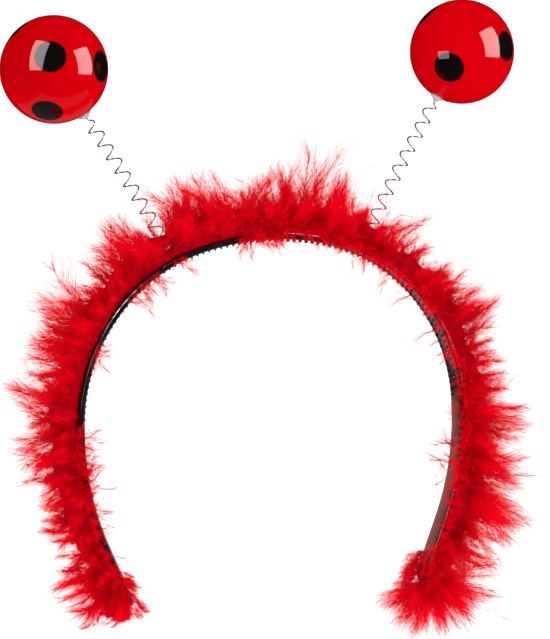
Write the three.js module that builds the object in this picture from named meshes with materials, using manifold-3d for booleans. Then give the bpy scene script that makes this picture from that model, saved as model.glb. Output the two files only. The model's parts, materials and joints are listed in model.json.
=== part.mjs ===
// Ladybird head bopper: a toothed hair band, a feather boa along its outside, and two dotted balls on springs.
// Millimetres. The origin is on the inside face of the band at its crown. +X runs to the right as seen from
// the front, the front faces -Y, and +Z is up. Left and right are as seen from the front.
import * as THREE from 'three';
import { mergeVertices } from 'three/addons/utils/BufferGeometryUtils.js';
import Module from 'manifold-3d';

const wasm = await Module();
wasm.setup();

// Band, measured along its inside face from the crown down to one tip
const CROWN_RADIUS = 95;
const CROWN_TURN = 15; // degrees that the band turns down on each side before its shoulder
const SHOULDER_RADIUS = 63;
const TEMPLE_LENGTH = 3; // straight stretch at the widest place
const ARM_RADIUS = 100;
const ARM_TURN = 22; // degrees that each arm turns inward below the widest place
const TIP_LENGTH = 25;
const BAND_WIDTH = 10;
const BAND_THICKNESS = 2;
const BAND_BEVEL = 0.5;

// Teeth, two rows on the inside face
const TOOTH_DIAMETER = 0.9;
const TOOTH_HEIGHT = 0.9;
const TOOTH_ROOT = 0.4; // sunk into the band
const TOOTH_TIP = 0.8; // share of its diameter that a tooth keeps at its tip
const TOOTH_SPACING = 2.3;
const TOOTH_ROW_SPACING = 5;
const TOOTHED_REACH = 104; // from the crown to the last tooth on each side
const TOOTH_SIDES = 5;

// Posts, moulded on the outside face, each with a spring pushed over it
const POST_PLACE = 36; // from the crown along the band
const POST_HEIGHT = 6;
const POST_BEVEL = 0.5;
const CLEARANCE = 0.3; // between neighbouring pieces

// Springs
const WIRE = 0.55;
const COIL_DIAMETER = 4.4; // to the middle of the wire
const CLOSE_TURNS = 4;
const CLOSE_PITCH = 0.85;
const OPEN_TURNS = 9.5;
const COIL_START_HEIGHT = 0.9; // height of the first turn above the band
const TAIL_DEPTH = 2; // wire inside the ball
const STEPS_A_TURN = 9; // of the faceted wire
const WIRE_SIDES = 5;

// Straight length of each spring from its post's foot to the ball's skin, and its lean outward from upright
const LEFT_SPRING_LENGTH = 60.5;
const RIGHT_SPRING_LENGTH = 62.5;
const BOPPERS = [
  { name: 'left', side: -1, lean: 31, reach: LEFT_SPRING_LENGTH },
  { name: 'right', side: 1, lean: 30.5, reach: RIGHT_SPRING_LENGTH },
];

// Balls and the drops of glue that hold them
const BALL_DIAMETER = 38;
const BALL_WALL = 0.8;
const GLUE_DIAMETER = 5;
const GLUE_HEIGHT = 1.7;

// Feather trim
const CORE_WIDTH = 7; // of its flat underside on the band
const CORE_RADIUS = 8; // of the down that the locks stand on
const CORE_OVERHANG = 1; // past each tip of the band
const FLUFF_REACH = 22; // longest locks
const LOCKS_ROUND = 7; // knots of the net from the front edge of the band over its outside to the back edge
const LOCK_FAN = 84; // degrees that the outermost of them lean to the front and the back
const LOCK_SWEEP = 3.5; // most that a lock's point is shifted along the band
const SHORTEST_LOCK = 0.75; // share of the longest
const FRONT_SHARE = 0.75; // of a lock's reach that it keeps where it leans fully to the front or the back
const TUFT_LOCK_WIDTH = 13;
const LEFT_TUFT_REACH = 12; // past the left tip of the band, where the trim is pressed flat
const RIGHT_TUFT_REACH = 22;
const TUFTS = [{ side: -1, reach: LEFT_TUFT_REACH }, { side: 1, reach: RIGHT_TUFT_REACH }];

// How full the trim is from the left tip (-1) over the crown (0) to the right tip (1), with a row for each
// tuft and each notch of its outline
const FULLNESS = [
  { place: -1, share: 0.8 },
  { place: -0.93, share: 1.2 },
  { place: -0.86, share: 0.65 },
  { place: -0.72, share: 0.8 },
  { place: -0.68, share: 1.1 },
  { place: -0.64, share: 0.95 },
  { place: -0.58, share: 1.2 },
  { place: -0.53, share: 0.95 },
  { place: -0.45, share: 1.15 },
  { place: -0.34, share: 0.65 },
  { place: -0.3, share: 1.05 },
  { place: -0.16, share: 1.15 },
  { place: -0.06, share: 0.95 },
  { place: 0.08, share: 1.3 },
  { place: 0.2, share: 1 },
  { place: 0.29, share: 0.6 },
  { place: 0.36, share: 1 },
  { place: 0.4, share: 0.75 },
  { place: 0.46, share: 1.05 },
  { place: 0.5, share: 0.65 },
  { place: 0.63, share: 1.3 },
  { place: 0.68, share: 1.05 },
  { place: 0.77, share: 1.35 },
  { place: 0.9, share: 0.9 },
  { place: 1, share: 1.35 },
];

const radians = THREE.MathUtils.degToRad;
const BAND_RUNS = [
  { radius: CROWN_RADIUS, turn: radians(CROWN_TURN) },
  { radius: SHOULDER_RADIUS, turn: radians(90 - CROWN_TURN) },
  { length: TEMPLE_LENGTH },
  { radius: ARM_RADIUS, turn: radians(ARM_TURN) },
  { length: TIP_LENGTH },
];
const runLength = (run) => run.length ?? run.radius * run.turn;
const HALF_LENGTH = BAND_RUNS.reduce((sum, run) => sum + runLength(run), 0);
const AXIS_Y = new THREE.Vector3(0, 1, 0);

const PLASTIC = new THREE.MeshStandardMaterial({ color: '#101012', roughness: 0.25, metalness: 0 });
const FEATHER = new THREE.MeshStandardMaterial({ color: '#d8001c', roughness: 0.9, metalness: 0 });
const STEEL = new THREE.MeshStandardMaterial({ color: '#b9bcc0', roughness: 0.25, metalness: 1 });
const LACQUER = new THREE.MeshStandardMaterial({ color: '#dc0010', roughness: 0.08, metalness: 0 });
const GLUE = new THREE.MeshStandardMaterial({ color: '#e6ddd6', roughness: 0.3, metalness: 0 });

// Place on the band's inside face at a length from the crown, with the outward normal and the way to the tip.
// A length past the last run goes straight on.
function bandPlace(length) {
  const side = Math.sign(length) || 1;
  let left = Math.abs(length);
  let angle = 0;
  let x = 0;
  let z = 0;
  BAND_RUNS.forEach((run, index) => {
    const last = index === BAND_RUNS.length - 1;
    const step = last ? left : Math.min(left, runLength(run));
    if (run.radius) {
      const next = angle + step / run.radius;
      x += run.radius * (Math.sin(next) - Math.sin(angle));
      z -= run.radius * (Math.cos(angle) - Math.cos(next));
      angle = next;
    } else {
      x += step * Math.cos(angle);
      z -= step * Math.sin(angle);
    }
    left -= step;
  });
  return {
    point: new THREE.Vector3(side * x, 0, z),
    normal: new THREE.Vector3(side * Math.sin(angle), 0, Math.cos(angle)),
    along: new THREE.Vector3(side * Math.cos(angle), 0, -Math.sin(angle)),
  };
}

// Point at a length along the band, a distance across it and a height above its inside face.
function bandPoint(length, across, height) {
  const { point, normal } = bandPlace(length);
  return point.addScaledVector(normal, height).addScaledVector(AXIS_Y, across);
}

// Closed mesh through rings of points that run anticlockwise seen from the far end, with a flat cap at each end.
// A quad is split the other way where turned says so for its ring and side.
function loft(rings, turned = () => false) {
  const sides = rings[0].length;
  const faces = [];
  rings.slice(1).forEach((_, ring) => {
    for (let k = 0; k < sides; k += 1) {
      const a = ring * sides + k;
      const b = ring * sides + ((k + 1) % sides);
      const quad = turned(ring, k)
        ? [b, b + sides, a + sides, b, a + sides, a]
        : [a, b, b + sides, a, b + sides, a + sides];
      faces.push(...quad);
    }
  });
  const end = (rings.length - 1) * sides;
  for (let k = 1; k < sides - 1; k += 1) {
    faces.push(0, k + 1, k, end, end + k, end + k + 1);
  }
  const geometry = new THREE.BufferGeometry().setFromPoints(rings.flat());
  geometry.setIndex(faces);
  geometry.computeVertexNormals();
  return geometry;
}

function toSolid(geometry) {
  const bare = geometry.clone();
  bare.deleteAttribute('normal');
  bare.deleteAttribute('uv');
  const merged = mergeVertices(bare, 1e-4);
  return new wasm.Manifold(new wasm.Mesh({
    numProp: 3,
    vertProperties: new Float32Array(merged.attributes.position.array),
    triVerts: new Uint32Array(merged.index.array),
  }));
}

function toGeometry(solid) {
  const { vertProperties, triVerts } = solid.getMesh();
  const geometry = new THREE.BufferGeometry();
  geometry.setAttribute('position', new THREE.BufferAttribute(vertProperties, 3));
  geometry.setIndex(new THREE.BufferAttribute(triVerts, 1));
  geometry.computeVertexNormals();
  return geometry;
}

const joined = (solids) => solids.reduce((whole, solid) => whole.add(solid));

function named(name, geometry, material) {
  const mesh = new THREE.Mesh(geometry, material);
  mesh.name = name;
  return mesh;
}

// Turns a geometry made along +Y so that it stands at a point along a direction.
function stand(geometry, point, direction) {
  const turn = new THREE.Quaternion().setFromUnitVectors(AXIS_Y, direction);
  return geometry.applyQuaternion(turn).translate(point.x, point.y, point.z);
}

function roundOutline(diameter, sides) {
  const points = Array.from({ length: sides }, (_, k) => {
    const angle = (2 * Math.PI * k) / sides;
    return new THREE.Vector2(Math.cos(angle), Math.sin(angle)).multiplyScalar(diameter / 2);
  });
  return new THREE.Shape(points);
}

// Section of the band or of a strip along it: a rectangle with its corners cut.
function bevelledSection(length, width, low, high, bevel) {
  const half = width / 2;
  const cut = Math.min(bevel, half / 2);
  const corners = [
    [half - cut, low], [half, low + cut], [half, high - cut], [half - cut, high],
    [cut - half, high], [-half, high - cut], [-half, low + cut], [cut - half, low],
  ];
  return corners.map(([across, height]) => bandPoint(length, across, height));
}

// Lengths along the band out to a reach on both sides, every third gap between teeth.
function stations(reach) {
  const step = 3 * TOOTH_SPACING;
  const count = 2 * Math.floor(reach / step + 0.4);
  const between = Array.from({ length: count }, (_, k) => step * (k - (count - 1) / 2));
  return [-reach, ...between, reach];
}

function bandBody(grow) {
  const round = BAND_WIDTH / 2;
  const straight = HALF_LENGTH - round;
  const ends = [0.5, 0.85, 1].map((share) => straight + round * share);
  const lengths = [...ends.map((end) => -end).reverse(), ...stations(straight), ...ends];
  return toSolid(loft(lengths.map((length) => {
    const past = Math.max(0, Math.abs(length) - straight) / round;
    const width = BAND_WIDTH * Math.max(0.25, Math.sqrt(1 - past * past));
    const place = length + Math.sign(length) * (past > 0 ? grow : 0);
    return bevelledSection(place, width + 2 * grow, -grow, BAND_THICKNESS + grow, BAND_BEVEL);
  })));
}

function tooth(length, across) {
  const { normal } = bandPlace(length);
  const peg = [-TOOTH_ROOT, TOOTH_HEIGHT].map((height, end) => {
    const outline = roundOutline(TOOTH_DIAMETER * (end ? TOOTH_TIP : 1), TOOTH_SIDES).getPoints();
    return outline.slice(0, TOOTH_SIDES).map(({ x, y }) => new THREE.Vector3(y, height, x));
  });
  return toSolid(stand(loft(peg), bandPoint(length, across, 0), normal.negate()));
}

function teeth() {
  const half = Math.floor(TOOTHED_REACH / TOOTH_SPACING);
  const places = Array.from({ length: 2 * half + 1 }, (_, k) => (k - half) * TOOTH_SPACING);
  return places.flatMap((place) => [
    tooth(place, -TOOTH_ROW_SPACING / 2),
    tooth(place, TOOTH_ROW_SPACING / 2),
  ]);
}

function post({ side }) {
  const root = BAND_THICKNESS / 2; // sunk into the band
  const radius = (COIL_DIAMETER - WIRE) / 2 - CLEARANCE;
  const outline = [
    [0, -root], [radius, -root], [radius, POST_HEIGHT - POST_BEVEL], [radius - POST_BEVEL, POST_HEIGHT],
    [0, POST_HEIGHT],
  ].map(([r, h]) => new THREE.Vector2(r, h));
  const place = side * POST_PLACE;
  const foot = bandPoint(place, 0, BAND_THICKNESS);
  return toSolid(stand(new THREE.LatheGeometry(outline, 12), foot, bandPlace(place).normal));
}

function headband() {
  const moulding = joined([bandBody(0), ...teeth(), ...BOPPERS.map(post)]);
  return named('headband', toGeometry(moulding), PLASTIC);
}

// Everything about one bopper's line: it leaves the band along the post and ends on the ball's skin.
function bopperLine({ side, lean, reach }) {
  const foot = bandPoint(side * POST_PLACE, 0, BAND_THICKNESS);
  const { normal } = bandPlace(side * POST_PLACE);
  const way = new THREE.Vector3(side * Math.sin(radians(lean)), 0, Math.cos(radians(lean)));
  const centre = foot.clone().addScaledVector(way, reach + BALL_DIAMETER / 2);
  const bend = foot.clone().addScaledVector(normal, reach / 3);
  const arrival = centre.clone().sub(bend).normalize();
  const skin = centre.clone().addScaledVector(arrival, -BALL_DIAMETER / 2);
  return { centre, arrival, axis: new THREE.QuadraticBezierCurve3(foot, bend, skin) };
}

// Wire of a spring: close turns round the post, open turns up to the ball, then a straight tail into it.
class SpringWire extends THREE.Curve {
  constructor(axis) {
    super();
    this.axis = axis;
    this.arcLengthDivisions = 1500;
    this.turns = CLOSE_TURNS + OPEN_TURNS;
    this.tail = GLUE_HEIGHT + CLEARANCE + TAIL_DEPTH;
    const closeHeight = COIL_START_HEIGHT + CLOSE_TURNS * CLOSE_PITCH;
    const openHeight = axis.getLength() + TAIL_DEPTH - this.tail - closeHeight;
    this.openPitch = openHeight / OPEN_TURNS;
  }

  // Height along the spring's axis after a number of turns. The tail counts as one turn more.
  height(turn) {
    const close = Math.min(turn, CLOSE_TURNS) * CLOSE_PITCH;
    const open = THREE.MathUtils.clamp(turn - CLOSE_TURNS, 0, OPEN_TURNS) * this.openPitch;
    const tail = Math.max(0, turn - this.turns) * this.tail;
    return COIL_START_HEIGHT + close + open + tail;
  }

  getPoint(t, target = new THREE.Vector3()) {
    const turn = t * (this.turns + 1);
    const height = this.height(turn);
    const reach = this.axis.getLength();
    const tangent = this.axis.getTangentAt(Math.min(1, height / reach));
    const sideways = new THREE.Vector3().crossVectors(AXIS_Y, tangent);
    const closing = THREE.MathUtils.smoothstep(this.turns - turn, 0, 0.5);
    const radius = (COIL_DIAMETER / 2) * closing;
    const angle = 2 * Math.PI * (turn - this.turns + 0.25);
    return target.copy(this.axis.getPointAt(Math.min(1, height / reach)))
      .addScaledVector(tangent, Math.max(0, height - reach))
      .addScaledVector(sideways, radius * Math.cos(angle))
      .addScaledVector(AXIS_Y, radius * Math.sin(angle));
  }
}

function spring(name, line) {
  const wire = new SpringWire(line.axis);
  const steps = Math.round(wire.turns * STEPS_A_TURN);
  const geometry = new THREE.ExtrudeGeometry(roundOutline(WIRE, WIRE_SIDES), { steps, extrudePath: wire });
  return named(name, geometry, STEEL);
}

// Points of an arc about the origin in a lathe's half plane, from one angle off the -Y axis to another.
function arcProfile(radius, from, to, count) {
  return Array.from({ length: count + 1 }, (_, k) => {
    const angle = from + ((to - from) * k) / count;
    return new THREE.Vector2(radius * Math.sin(angle), -radius * Math.cos(angle));
  });
}

// Hollow ball about the origin. Its hole for the wire faces -Y.
function ballGeometry() {
  const outer = BALL_DIAMETER / 2;
  const inner = outer - BALL_WALL;
  const hole = WIRE / 2 + CLEARANCE;
  const skin = arcProfile(outer, Math.asin(hole / outer), Math.PI, 12);
  const hollow = arcProfile(inner, Math.PI, Math.asin(hole / inner), 5);
  skin.at(-1).x = 0;
  hollow[0].x = 0;
  return new THREE.LatheGeometry([...hollow, ...skin], 24);
}

function ball(name, line) {
  const geometry = stand(ballGeometry(), line.centre, line.arrival);
  return named(name, geometry, LACQUER);
}

// Drop of glue on the skin of a ball about the origin, round the wire, facing -Y.
function glueGeometry() {
  const bed = BALL_DIAMETER / 2 + CLEARANCE;
  const bore = WIRE / 2 + CLEARANCE;
  const rim = GLUE_DIAMETER / 2;
  const top = BALL_DIAMETER / 2 + GLUE_HEIGHT;
  const seat = arcProfile(bed, Math.asin(bore / bed), Math.asin(rim / bed), 2);
  const dome = [[0.72, 0.5], [0.42, 1]].map(([out, up]) => {
    return new THREE.Vector2(Math.max(rim * out, bore), -THREE.MathUtils.lerp(bed, top, up));
  });
  const mouth = new THREE.Vector2(bore, -top);
  return new THREE.LatheGeometry([...seat, ...dome, mouth, seat[0]].reverse(), 12);
}

function glue(name, line) {
  const geometry = stand(glueGeometry(), line.centre, line.arrival);
  return named(name, geometry, GLUE);
}

function fullness(place) {
  const next = Math.max(1, FULLNESS.findIndex((row) => row.place >= place));
  const [a, b] = [FULLNESS[next - 1], FULLNESS[next]];
  return THREE.MathUtils.mapLinear(place, a.place, b.place, a.share, b.share);
}

// Uneven but repeatable share between 0 and 1 for a lock's number, from a generator that the number seeds.
const uneven = (number) => THREE.MathUtils.seededRandom(Math.round(1000 * number));

// The trim's surface is a net over the outside of the band. Every second knot is pulled out into a lock's point.
const isPoint = (ring, k) => (ring + k) % 2 === 1;

function trimRing(length, ring, isEnd) {
  const low = BAND_THICKNESS + CLEARANCE;
  const full = fullness(THREE.MathUtils.clamp(length / HALF_LENGTH, -1, 1));
  const knots = Array.from({ length: LOCKS_ROUND }, (_, k) => {
    const number = ring * LOCKS_ROUND + k;
    const pulled = isPoint(ring, k + 1) && !isEnd;
    const shift = pulled ? LOCK_SWEEP * (2 * uneven(number + 0.5) - 1) : 0;
    const fan = radians(LOCK_FAN) * (1 - (2 * k) / (LOCKS_ROUND - 1));
    const reach = FLUFF_REACH * full * THREE.MathUtils.lerp(SHORTEST_LOCK, 1, uneven(number))
      * THREE.MathUtils.lerp(1, FRONT_SHARE, Math.abs(Math.sin(fan)));
    const radius = pulled ? Math.max(reach, CORE_RADIUS) : CORE_RADIUS;
    return bandPoint(length + shift, radius * Math.sin(fan), low + radius * Math.cos(fan));
  });
  return [bandPoint(length, CORE_WIDTH / 2, low), ...knots, bandPoint(length, -CORE_WIDTH / 2, low)];
}

function trimNet() {
  const lengths = stations(HALF_LENGTH + CORE_OVERHANG);
  const rings = lengths.map((length, ring) => {
    return trimRing(length, ring, ring === 0 || ring === lengths.length - 1);
  });
  return toSolid(loft(rings, isPoint));
}

// One lock of a tuft: narrow at its root, widest near a third, then drawn to a point.
function tuftLock(root, direction, reach) {
  const outline = [[0, 0], [0.3, 0], [0.5, 0.38], [0, 1]];
  const points = outline.map(([out, up]) => new THREE.Vector2(out * TUFT_LOCK_WIDTH, up * reach));
  return toSolid(stand(new THREE.LatheGeometry(points, 4), root, direction));
}

// Locks that fan out past one tip of the band, from its outside round to its inside.
function tipTuft({ side, reach }) {
  const end = side * (HALF_LENGTH + CORE_OVERHANG / 2);
  const { normal, along } = bandPlace(end);
  const root = bandPoint(end, 0, BAND_THICKNESS + CORE_RADIUS / 2);
  const spread = [
    { turn: 28, fan: 22, share: 1.05 },
    { turn: 28, fan: -22, share: 1.05 },
    { turn: 58, fan: 0, share: 0.85 },
    { turn: 80, fan: 52, share: 0.6 },
    { turn: 80, fan: -52, share: 0.6 },
    { turn: 104, fan: 0, share: 0.55 },
    { turn: 142, fan: 26, share: 0.85 },
    { turn: 142, fan: -26, share: 0.85 },
  ];
  return spread.map(({ turn, fan, share }) => {
    const direction = normal.clone().multiplyScalar(Math.cos(radians(turn)))
      .addScaledVector(along, Math.sin(radians(turn)))
      .addScaledVector(AXIS_Y, Math.tan(radians(fan))).normalize();
    return tuftLock(root, direction, reach * share);
  });
}

// Clear way through the trim for a post and its spring.
function springWay(line) {
  const outline = roundOutline(COIL_DIAMETER + WIRE + 2 * CLEARANCE, 8);
  return toSolid(new THREE.ExtrudeGeometry(outline, { steps: 5, extrudePath: line.axis }));
}

function featherTrim(ways) {
  const whole = joined([trimNet(), ...TUFTS.flatMap(tipTuft)]).subtract(bandBody(CLEARANCE));
  const open = ways.reduce((solid, line) => solid.subtract(springWay(line)), whole);
  const pieces = open.decompose().sort((a, b) => b.volume() - a.volume());
  return named('feather_trim', toGeometry(pieces[0]), FEATHER);
}

const headBopper = new THREE.Group();
headBopper.name = 'head_bopper';
const lines = BOPPERS.map(bopperLine);
headBopper.add(headband(), featherTrim(lines));
BOPPERS.forEach(({ name }, index) => {
  const line = lines[index];
  headBopper.add(spring(`spring_${name}`, line), ball(`ball_${name}`, line), glue(`glue_${name}`, line));
});

export default headBopper;
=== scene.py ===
# %% [markdown]
# # Ladybird head bopper
# A head bopper is a hair band with two light balls on springs, which nod as the wearer moves. This one is
# dressed as a ladybird: a red feather boa hides the outside of the band, and the balls are red with black
# dots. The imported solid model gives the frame: every piece here lies where its solid lies, in metres.

# %% Frame
import json
import math

import bmesh
import bpy
import numpy as np
from mathutils import Matrix, Vector, noise

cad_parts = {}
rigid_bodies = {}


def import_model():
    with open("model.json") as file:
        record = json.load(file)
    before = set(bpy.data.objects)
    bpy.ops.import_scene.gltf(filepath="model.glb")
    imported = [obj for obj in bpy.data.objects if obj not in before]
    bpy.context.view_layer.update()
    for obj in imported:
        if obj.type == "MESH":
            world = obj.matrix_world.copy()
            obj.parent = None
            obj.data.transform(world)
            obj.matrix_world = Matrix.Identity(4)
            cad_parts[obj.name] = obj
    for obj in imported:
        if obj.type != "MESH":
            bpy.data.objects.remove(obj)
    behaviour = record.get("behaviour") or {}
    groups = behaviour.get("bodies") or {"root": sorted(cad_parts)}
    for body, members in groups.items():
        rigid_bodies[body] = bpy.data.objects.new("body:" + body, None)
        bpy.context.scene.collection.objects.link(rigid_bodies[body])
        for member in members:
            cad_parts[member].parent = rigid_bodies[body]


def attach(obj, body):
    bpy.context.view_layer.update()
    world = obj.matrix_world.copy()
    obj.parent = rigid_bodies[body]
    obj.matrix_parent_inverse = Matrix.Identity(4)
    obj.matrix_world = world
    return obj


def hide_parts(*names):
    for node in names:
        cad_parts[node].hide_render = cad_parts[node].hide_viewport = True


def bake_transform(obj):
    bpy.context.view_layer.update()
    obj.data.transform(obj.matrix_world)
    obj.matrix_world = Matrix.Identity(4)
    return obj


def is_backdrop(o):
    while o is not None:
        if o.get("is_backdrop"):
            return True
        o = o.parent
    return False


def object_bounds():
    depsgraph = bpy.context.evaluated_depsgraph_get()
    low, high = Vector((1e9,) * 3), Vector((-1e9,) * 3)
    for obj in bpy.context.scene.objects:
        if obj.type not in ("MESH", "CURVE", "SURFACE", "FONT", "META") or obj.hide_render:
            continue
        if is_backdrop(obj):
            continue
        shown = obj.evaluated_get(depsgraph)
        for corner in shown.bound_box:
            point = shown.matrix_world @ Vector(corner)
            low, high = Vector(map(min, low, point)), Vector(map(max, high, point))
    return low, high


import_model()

cad_low, cad_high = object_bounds()
print("solid model from", [round(v, 4) for v in cad_low], "to", [round(v, 4) for v in cad_high])

# %% [markdown]
# ## Driving sizes
# The script can't read the solid model's source, so it repeats the few sizes that shape the band, the springs
# and the balls. The band is described by the arcs and straights of its inside face, from the crown to a tip.

# %% Sizes
MM = 0.001
BAND_RUNS = [  # length and radius of each stretch; a straight has no radius
    (95 * MM * math.radians(15), 95 * MM),
    (63 * MM * math.radians(75), 63 * MM),
    (3 * MM, None),
    (100 * MM * math.radians(22), 100 * MM),
    (25 * MM, None),
]
HALF_LENGTH = sum(length for length, _ in BAND_RUNS)
BAND_WIDTH = 10 * MM
BAND_THICKNESS = 2 * MM
BAND_EDGE = 0.75 * MM  # rounder than in the solid model, so that it catches a line of light
TOOTH_DIAMETER = 0.9 * MM
TOOTH_HEIGHT = 0.9 * MM
TOOTH_SPACING = 2.3 * MM
TOOTH_ROW_SPACING = 5 * MM
TOOTHED_REACH = 104 * MM
POST_PLACE = 36 * MM
POST_HEIGHT = 6 * MM
CLEARANCE = 0.3 * MM
WIRE = 0.55 * MM
COIL_DIAMETER = 4.4 * MM
CLOSE_TURNS = 4
CLOSE_PITCH = 0.85 * MM
OPEN_TURNS = 9.5
COIL_START_HEIGHT = 0.9 * MM
TAIL_DEPTH = 2 * MM
BALL_DIAMETER = 38 * MM
BALL_WALL = 0.8 * MM
GLUE_DIAMETER = 5 * MM
GLUE_HEIGHT = 1.7 * MM
FLUFF_REACH = 22 * MM
BOPPERS = {  # side, degrees that the spring leans outward, and its straight length from the band to the ball
    "left": (-1, 31, 60.5 * MM),
    "right": (1, 30.5, 62.5 * MM),
}
print(f"band {2 * HALF_LENGTH / MM:.0f} mm along its inside")

# %% [markdown]
# ## Camera
# The photograph was taken from a little to the left and nearly level. The camera stands there, and aims at
# the middle of the picture with a long lens, so the lens needs no shift and other views stay centred.

# %% Camera
PHOTO_WIDTH, PHOTO_HEIGHT = 550, 639
PHOTO_AZIMUTH, PHOTO_ELEVATION, PHOTO_ROLL = math.radians(-19), math.radians(3), math.radians(-1.7)
CAMERA_DISTANCE = 1.2
PIXELS_PER_METRE = 2790  # at the crown
CROWN_PIXEL = (267, 239.3)  # where the photograph shows the origin
SENSOR = 36

to_camera = Vector((
    math.sin(PHOTO_AZIMUTH) * math.cos(PHOTO_ELEVATION),
    -math.cos(PHOTO_AZIMUTH) * math.cos(PHOTO_ELEVATION),
    math.sin(PHOTO_ELEVATION),
))
level_right = Vector((0, 0, 1)).cross(to_camera).normalized()
level_up = to_camera.cross(level_right)
picture_right = level_right * math.cos(PHOTO_ROLL) + level_up * math.sin(PHOTO_ROLL)
picture_up = level_up * math.cos(PHOTO_ROLL) - level_right * math.sin(PHOTO_ROLL)
camera_place = to_camera * CAMERA_DISTANCE
aim = (picture_right * (PHOTO_WIDTH / 2 - CROWN_PIXEL[0])
       - picture_up * (PHOTO_HEIGHT / 2 - CROWN_PIXEL[1])) / PIXELS_PER_METRE


def facing(place, target, up):
    """Matrix of a camera or lamp at a place that looks at a target."""
    back = (place - target).normalized()
    right = up.cross(back).normalized()
    turn = Matrix((right, back.cross(right), back)).transposed()
    return Matrix.Translation(place) @ turn.to_4x4()


camera = bpy.data.objects.new("camera", bpy.data.cameras.new("camera"))
bpy.context.scene.collection.objects.link(camera)
camera.matrix_world = facing(camera_place, aim, picture_up)
camera.data.sensor_width = SENSOR
camera.data.lens = SENSOR * PIXELS_PER_METRE * CAMERA_DISTANCE / PHOTO_HEIGHT
bpy.context.scene.camera = camera
print(f"lens {camera.data.lens:.0f} mm")

# %% [markdown]
# ## Helpers
# Colours are written as the hex codes that a picture editor shows, and turned to the linear values that
# shaders work with. One small function adds a shader node with its settings and its links.

# %% Helpers


def linear(code):
    """Linear colour with alpha 1 from an sRGB hex code."""
    shares = [int(code[k:k + 2], 16) / 255 for k in (1, 3, 5)]
    return [c / 12.92 if c <= 0.04045 else ((c + 0.055) / 1.055) ** 2.4 for c in shares] + [1]


def new_material(name):
    material = bpy.data.materials.new(name)
    material.use_nodes = True
    material.node_tree.nodes.clear()
    return material


def add(material, kind, inputs=None, **settings):
    """Adds a node. An input is given a value, or the output socket that leads into it."""
    tree = material.node_tree
    node = tree.nodes.new("ShaderNode" + kind)
    for name, value in settings.items():
        setattr(node, name, value)
    for name, value in (inputs or {}).items():
        socket = node.inputs[name]
        if isinstance(value, bpy.types.NodeSocket):
            tree.links.new(value, socket)
        else:
            socket.default_value = value
    return node


def new_piece(name, mesh, body, *materials):
    """Puts a finished mesh into the scene as a smooth-shaded piece that rides on a body."""
    piece = bpy.data.objects.new(name, mesh)
    bpy.context.scene.collection.objects.link(piece)
    for material in materials:
        mesh.materials.append(material)
    mesh.shade_smooth()
    if body:
        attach(piece, body)
    return piece


def mesh_from(bm, name):
    mesh = bpy.data.meshes.new(name)
    bm.to_mesh(mesh)
    bm.free()
    return mesh


# %% [markdown]
# ## Bending a flat pattern
# The band and its feathers are easiest to make flat, as on a bench: X along the band, Y across it, and Z
# above its inside face. This function then bends such points round the head, and past the tips straight on.

# %% Bend


def bend(flat):
    """Places round the head of flat points (along, across, above), given and returned as rows."""
    along, across, above = np.asarray(flat, float).T
    left, turned = np.abs(along), np.zeros(len(along))
    x, z = np.zeros(len(along)), np.zeros(len(along))
    for index, (length, radius) in enumerate(BAND_RUNS):
        step = left if index == len(BAND_RUNS) - 1 else np.minimum(left, length)
        if radius:
            after = turned + step / radius
            x += radius * (np.sin(after) - np.sin(turned))
            z -= radius * (np.cos(turned) - np.cos(after))
            turned = after
        else:
            x += step * np.cos(turned)
            z -= step * np.sin(turned)
        left = left - step
    side = np.where(along < 0, -1, 1)
    return np.column_stack([side * (x + np.sin(turned) * above), across, z + np.cos(turned) * above])


def bend_bmesh(bm):
    for vert, place in zip(bm.verts, bend([vert.co for vert in bm.verts])):
        vert.co = place


tip = bend([[HALF_LENGTH, 0, 0]])[0]
print("tip at", [round(v / MM, 1) for v in tip], "mm")

# %% [markdown]
# ## Plastic
# The band is injection-moulded polystyrene, dyed black all through. The mould is polished, so it is glossy
# and shows lamps as clear streaks, with a faint unevenness where the plastic sank as it cooled.

# %% Material: moulded polystyrene
moulded_polystyrene = new_material("moulded_polystyrene")
place = add(moulded_polystyrene, "TexCoord")
sinks = add(moulded_polystyrene, "TexNoise", {"Vector": place.outputs["Object"], "Scale": 1 / (6 * MM)})
sink_relief = add(moulded_polystyrene, "Bump", {
    "Height": sinks.outputs["Fac"], "Strength": 0.15, "Distance": 0.2 * MM})
scuffs = add(moulded_polystyrene, "MapRange", {
    "Value": sinks.outputs["Fac"], "From Min": 0.3, "From Max": 0.7, "To Min": 0.16, "To Max": 0.3})
black = add(moulded_polystyrene, "BsdfPrincipled", {
    "Base Color": linear("#0c0c0d"), "IOR": 1.59, "Roughness": scuffs.outputs["Result"],
    "Normal": sink_relief.outputs["Normal"]})
add(moulded_polystyrene, "OutputMaterial", {"Surface": black.outputs["BSDF"]})
print("material", moulded_polystyrene.name)

# %% [markdown]
# ## Hair band
# The band could be swept along a curve, but made flat it is a bar: its tips are rounded by a wide bevel, its
# long edges by a narrow one, and cross cuts let it bend. The teeth are pegs on its underside. The posts are
# added after the bend, because they must stay straight and round.

# %% Hair band
BAND_CUTS = 220
TIP_ROUNDING = 0.49 * BAND_WIDTH
TOOTH_ROOT = 0.4 * MM  # sunk into the band
TOOTH_END_RADIUS = 0.42 * TOOTH_DIAMETER
TOOTH_ROUNDING = 0.3 * TOOTH_DIAMETER
POST_ROUNDING = 0.4 * MM
bm = bmesh.new()
bmesh.ops.create_cube(bm, size=1)
bmesh.ops.scale(bm, verts=bm.verts, vec=(2 * HALF_LENGTH, BAND_WIDTH, BAND_THICKNESS))
bmesh.ops.translate(bm, verts=bm.verts, vec=(0, 0, BAND_THICKNESS / 2))


def runs_along(edge, axis):
    way = (edge.verts[1].co - edge.verts[0].co).normalized()
    return abs(way[axis]) > 0.99


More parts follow.
